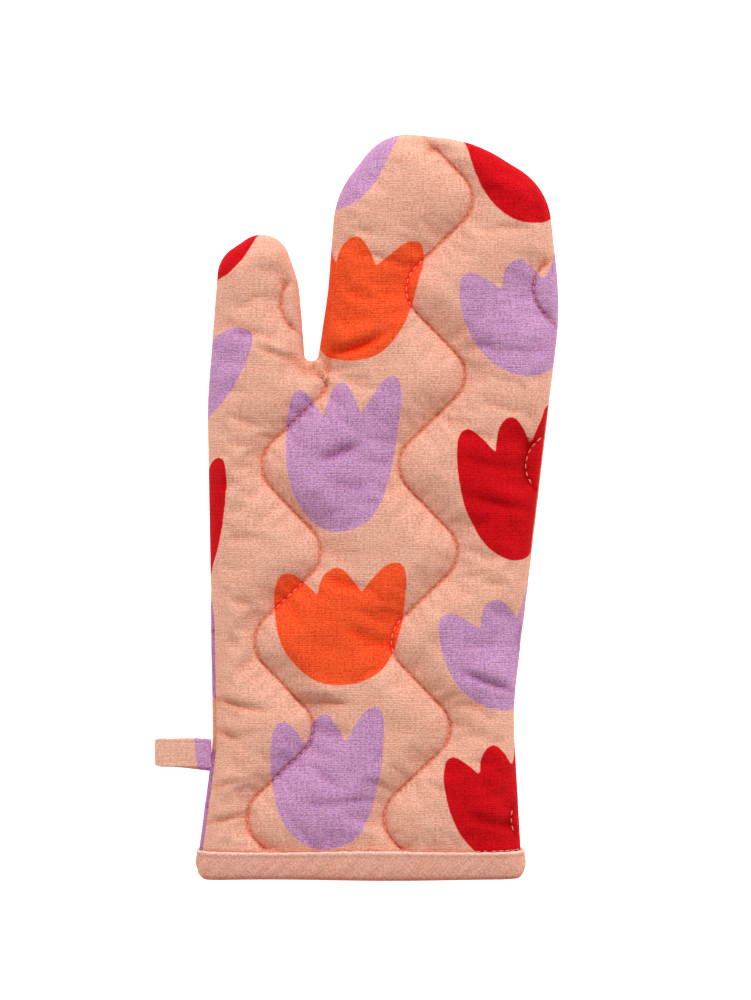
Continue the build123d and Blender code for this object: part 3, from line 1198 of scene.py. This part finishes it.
def side_seam_pieces():
    """The thread of the side seam, just inside the two panels."""
    seam = seam_path(2.0)
    roll = seam_roll(seam)
    shift = SIDE_ROUND * (1 - np.cos(roll)) + SEAM_THREAD_DEPTH * np.cos(roll)
    wave = 0.3 * np.sin(np.arange(len(seam)) * math.pi / 2)
    height = MID_Z + (MID_Z - SEAM_THREAD_DEPTH) * np.sin(roll) + wave
    line = np.column_stack([seam + left_normals(seam) * shift[:, None], height])
    line = line[line[:, 1] > BINDING_TOP + 2]
    on_thumb = thumb_side(line) > 0
    first = int(np.argmax(on_thumb))
    last = len(line) - int(np.argmax(on_thumb[::-1]))
    groups = {"hand": [line[:first + 1], line[last - 1:]], "thumb": [line[first:last]]}
    for part, lines in groups.items():
        piece = make_mesh(f"seam_thread_{part}", *join_shapes([tube(run, 0.3) for run in lines]))
        finish_piece(piece, part, sewing_thread, nodes_of("side_seam", part))


# ---- Cuff binding and hanging loop ----

BINDING_WIDTH = BINDING_TOP - MOUTH_Y
BINDING_OVERLAP = 9.0      # of the binding's ends, where they join on the back
PROFILE_STEP = 0.75
LOOP_THICK = 1.2
LOOP_ROOT_X = -64.6        # where the tape ends inside the side seam
LOOP_INK_X = -71.4         # the tape is printed from here inwards
LOOP_STEP = 0.8


def cuff_ring(step, overlap):
    """Round the cuff from a join on its back: x and z, outward direction and arc length."""
    join = CUFF_LEFT + 34.0
    path = rounded_path([
        (join, 0, 0), (CUFF_RIGHT, 0, SIDE_ROUND), (CUFF_RIGHT, HEIGHT, SIDE_ROUND),
        (CUFF_LEFT, HEIGHT, SIDE_ROUND), (CUFF_LEFT, 0, SIDE_ROUND), (join + overlap, 0, 0)], step)
    return path, -left_normals(path), np.arange(len(path)) * step


def closed_loop(corners, step):
    """A closed profile with evenly spaced points."""
    points = np.array(corners + corners[:1], float)
    return resample(points, step)[:-1]


def sweep(rows, count):
    """Quads between rows copies of a closed profile of count points, with both ends closed."""
    faces = []
    for row in range(rows - 1):
        for k in range(count):
            a, b = row * count + k, row * count + (k + 1) % count
            faces.append((a, b, b + count, a + count))
    faces.append(tuple(reversed(range(count))))
    faces.append(tuple((rows - 1) * count + k for k in range(count)))
    return faces


def lip_wave(along):
    """How far the lip of the binding strays from a straight line."""
    short = 0.10 * np.sin(along * 2 * math.pi / 6.3 + 2 * np.sin(along / 10))
    return short + 0.28 * np.sin(along / 14.0)


def binding_profile():
    """Section of the folded strip: depth below its face and height above the mouth."""
    top = BINDING_WIDTH
    return closed_loop([
        (1.5, top - 0.9), (1.15, top - 0.15), (0.7, top), (0.2, top - 0.35), (0.0, top - 1.0),
        (0.12, top - 1.9), (0.42, top - 2.6), (0.22, top - 3.8), (0.05, top - 6), (0.0, 5.0),
        (0.25, 2.6), (0.8, 1.2), (1.7, 0.25), (2.8, 0.0), (4.2, 0.1), (5.0, 0.8),
        (5.4, 2.2), (5.4, top - 1.5), (5.25, top - 0.3), (4.9, top - 0.05), (4.62, top - 0.4),
        (4.62, 1.4), (3.0, 1.25), (1.45, 1.4)], PROFILE_STEP)


def cuff_binding():
    """A folded strip over the raw edge at the mouth, with a soft lip at its top."""
    deep, high = binding_profile().T
    path, outward, arc = cuff_ring(1.5, BINDING_OVERLAP)
    total = arc[-1]
    share = high / BINDING_WIDTH
    profile_arc = np.arange(len(deep)) * PROFILE_STEP
    zeros = np.zeros(len(deep))
    outer_face = np.exp(-(deep / 1.6) ** 2)
    inner_face = smooth((deep - 4.7) / 0.4)
    # masks for the painted highlight along the lip and the painted shade round the lower fold
    lip = np.exp(-((high - BINDING_WIDTH + 0.5) / 0.7) ** 2)
    underside_shade = smooth((2.6 - high) / 2.6)
    bias = math.sqrt(0.5)
    points, cloth = [], []
    for place, away, s in zip(path, outward, arc):
        pull = 0.34 * np.sin((s + 0.75 * high) * 2 * math.pi / 9.3 + 1.7 * math.sin(s / 13))
        pull += 0.20 * np.sin((s + 0.9 * high) * 2 * math.pi / 5.3 + 2.1 * math.sin(s / 7))
        pull *= outer_face * np.sin(math.pi * np.clip(share, 0, 1) ** 0.8)
        pull += 0.35 * outer_face * math.sin(s / 21.0)
        overlapped = smooth((s - (total - BINDING_OVERLAP - 3)) / 3)
        inset = deep + pull + overlapped * (0.6 * inner_face - 0.9 * outer_face)
        height = high + lip_wave(s) * smooth((share - 0.75) / 0.2)
        height = height + 0.3 * math.sin(s / 17.0) * (1 - share)
        raised = binding_corner(place[0])
        height = raised + height * (BINDING_WIDTH - raised) / BINDING_WIDTH
        points.append(np.column_stack([
            place[0] - away[0] * inset, MOUTH_Y + height, place[1] - away[1] * inset]))
        cloth.append(np.column_stack([(s + profile_arc) * bias, (s - profile_arc) * bias, zeros]))
    points = np.concatenate(points)
    points[:, 2] = np.maximum(points[:, 2], 0)
    edges = np.tile(np.column_stack([lip, underside_shade, zeros]), (len(path), 1))
    piece = make_mesh("binding_strip", points, sweep(len(path), len(deep)), None,
                      {"cloth": np.concatenate(cloth), "edges": edges})
    finish_piece(piece, "palm", binding_cloth, ["cuff_binding"])


def binding_stitching():
    """The stitches that lie in the ditch just above the binding."""
    path, outward, arc = cuff_ring(0.7, -2.0)
    inset = BINDING_FOLD + np.array([0.6, 0.25, 0.2, 0.25, 0.6])
    shapes = []
    for first in range(0, len(path) - 4, 5):
        part = slice(first, first + 5)
        x, z = (path[part] - outward[part] * inset[:, None]).T
        line = np.column_stack([x, BINDING_TOP + 0.28 + lip_wave(arc[part]), z])
        shapes.append(tube(line, np.array([0.10, 0.17, 0.19, 0.17, 0.10])))
    piece = make_mesh("ditch_stitches", *join_shapes(shapes))
    finish_piece(piece, "palm", sewing_thread, ["binding_stitching"])


def loop_path(tip_x, middle_z, radius):
    """The tape's way from its root out to the eye and back: x and z."""
    gap = LOOP_THICK / 2 + 0.05
    run = [(LOOP_ROOT_X, gap, 0), (LOOP_ROOT_X - 7, gap + 0.2, 8),
           (tip_x + 2.2 * radius, radius, 9), (tip_x, radius, radius * 0.98)]
    lower = [(x, middle_z - z, bend) for x, z, bend in run]
    upper = [(x, middle_z + z, bend) for x, z, bend in reversed(run)]
    return rounded_path(lower + upper, LOOP_STEP)


def loop_profile(half_width):
    """Section of the tape: rounded edges and, on its face, a groove beside each of them."""
    half = LOOP_THICK / 2
    edge = [(0.1, half * 0.7), (0.5, half)]
    face = edge + [(1.6, half), (2.1, half * 0.72), (2.7, half)]
    left = [(-half_width + x, depth) for x, depth in face]
    right = [(half_width - x, depth) for x, depth in reversed(face)]
    under_right = [(half_width - x, -depth) for x, depth in edge]
    under_left = [(-half_width + x, -depth) for x, depth in reversed(edge)]
    return closed_loop([(-half_width, 0)] + left + [(0, half * 1.05)] + right + [(half_width, 0)]
                       + under_right + [(0, -half)] + under_left, 0.5)


def hanging_loop():
    """A flat tape, doubled back on itself, that stands open as an eye at its tip."""
    _, middle_y, middle_z = (loop_low + loop_high) / 2
    _, half_width, outside = (loop_high - loop_low) / 2
    tip_x = loop_low[0] + LOOP_THICK / 2
    path = loop_path(tip_x, middle_z, outside - LOOP_THICK / 2)
    across, deep = loop_profile(half_width).T
    zeros = np.zeros(len(across))
    points, cloth, ink = [], [], []
    for index, (place, away) in enumerate(zip(path, left_normals(path))):
        s = index * LOOP_STEP
        share = index / (len(path) - 1)
        ripple = 0.12 * np.sin(across / 2.3 + s / 3.1) + 0.1 * math.sin(s / 2.7)
        depth = deep + ripple * np.sign(deep) * 0.5 + 0.14 * math.sin(s / 4.0 + 1)
        slide = 1.3 * (smooth(share) - 0.5) + 0.25 * math.sin(s / 6)
        from_tip = (place[0] - tip_x) / (LOOP_ROOT_X - tip_x)
        taper = 0.86 + 0.03 * from_tip - 0.06 * math.exp(-(from_tip / 0.05) ** 2)
        slide += 1.0 - 1.6 * from_tip
        points.append(np.column_stack([
            place[0] + away[0] * depth, middle_y + across * taper + slide, place[1] + away[1] * depth]))
        cloth.append(np.column_stack([zeros + s, across + 20, zeros]))
        printed_from = place[0] - LOOP_INK_X + 0.1 * across
        ink.append(np.column_stack([printed_from, zeros - INK_REACH, zeros - INK_REACH]))
    faces = [face[::-1] for face in sweep(len(path), len(across))]
    piece = make_mesh("loop_tape", np.concatenate(points), faces, None,
                      {"cloth": np.concatenate(cloth), "ink": np.concatenate(ink)})
    finish_piece(piece, "loop", loop_cloth, ["hanging_loop"])


# ---- Stage, camera and light ----

FRAME_HEIGHT = 0.4435      # height of the picture on the mitt's plane, in metres
VIEW_CENTRE = (0.0082, 0.0027)
CAMERA_DISTANCE = 1.7
SENSOR = 36
FLOOR = 9.0                # half the floor's width, in metres


def stage():
    floor = bpy.data.meshes.new("floor")
    corners = [(-FLOOR, -FLOOR, 0), (FLOOR, -FLOOR, 0), (FLOOR, FLOOR, 0), (-FLOOR, FLOOR, 0)]
    floor.from_pydata(corners, [], [(0, 1, 2, 3)])
    piece = bpy.data.objects.new("floor", floor)
    piece.location.z = -0.0003
    bpy.context.scene.collection.objects.link(piece)
    nodes = Nodes("floor", (0.93, 0.93, 0.93), 0.9)
    grain = nodes.noise(nodes.place(), 3.0)
    nodes.colour(nodes.mix(grain, (0.92, 0.92, 0.92), (0.94, 0.94, 0.94)))
    nodes.set("Emission Color", (1, 1, 1, 1))
    nodes.set("Emission Strength", 0.85)
    floor.materials.append(nodes.material)


def camera():
    data = bpy.data.cameras.new("camera")
    data.sensor_width = SENSOR
    data.lens = SENSOR * CAMERA_DISTANCE / FRAME_HEIGHT
    data.clip_end = 20
    eye = bpy.data.objects.new("camera", data)
    eye.location = (*VIEW_CENTRE, CAMERA_DISTANCE + MID_Z * MM)
    bpy.context.scene.collection.objects.link(eye)
    bpy.context.scene.camera = eye


def area_light(name, place, size, power, colour=(1, 1, 1)):
    """A round lamp at a place in metres, turned to the origin."""
    data = bpy.data.lights.new(name, "AREA")
    data.shape = "DISK"
    data.size = size
    data.energy = power
    data.color = colour
    lamp = bpy.data.objects.new(name, data)
    lamp.location = place
    x, y, z = place
    lamp.rotation_euler = (math.atan2(math.hypot(x, y), z), 0, math.atan2(x, -y))
    bpy.context.scene.collection.objects.link(lamp)


def lights():
    world = bpy.data.worlds.new("studio")
    world.use_nodes = True
    background = world.node_tree.nodes["Background"]
    background.inputs["Color"].default_value = (1.0, 0.93, 0.89, 1)
    background.inputs["Strength"].default_value = 0.40
    bpy.context.scene.world = world
    area_light("key", (1.0, 4.5, 3.5), 1.3, 268, (0.985, 1.0, 1.01))
    area_light("fill", (-1.4, -0.8, 2.2), 1.6, 10)
    bpy.context.scene.view_settings.view_transform = "Standard"


camera()
stage()
lights()

for panel in (Panel("front", 1.5), Panel("back", 1.8)):
    panel.cloth_face = layer(panel, 0, True)
    if panel.side == "front":
        panel.cloth_face = settle(panel, panel.cloth_face)
    sheet_pieces(panel, "outer", panel.cloth_face, OUTER_THICK, printed_cloth)
    wadding_pieces(panel)
    stitch_pieces(panel)
for panel in (Panel("front", 3.4), Panel("back", 3.4)):
    lining_face = layer(panel, LINING_DEPTH, False)
    sheet_pieces(panel, "lining", lining_face, LINING_THICK, lining_cloth)
side_seam_pieces()
cuff_binding()
binding_stitching()
hanging_loop()
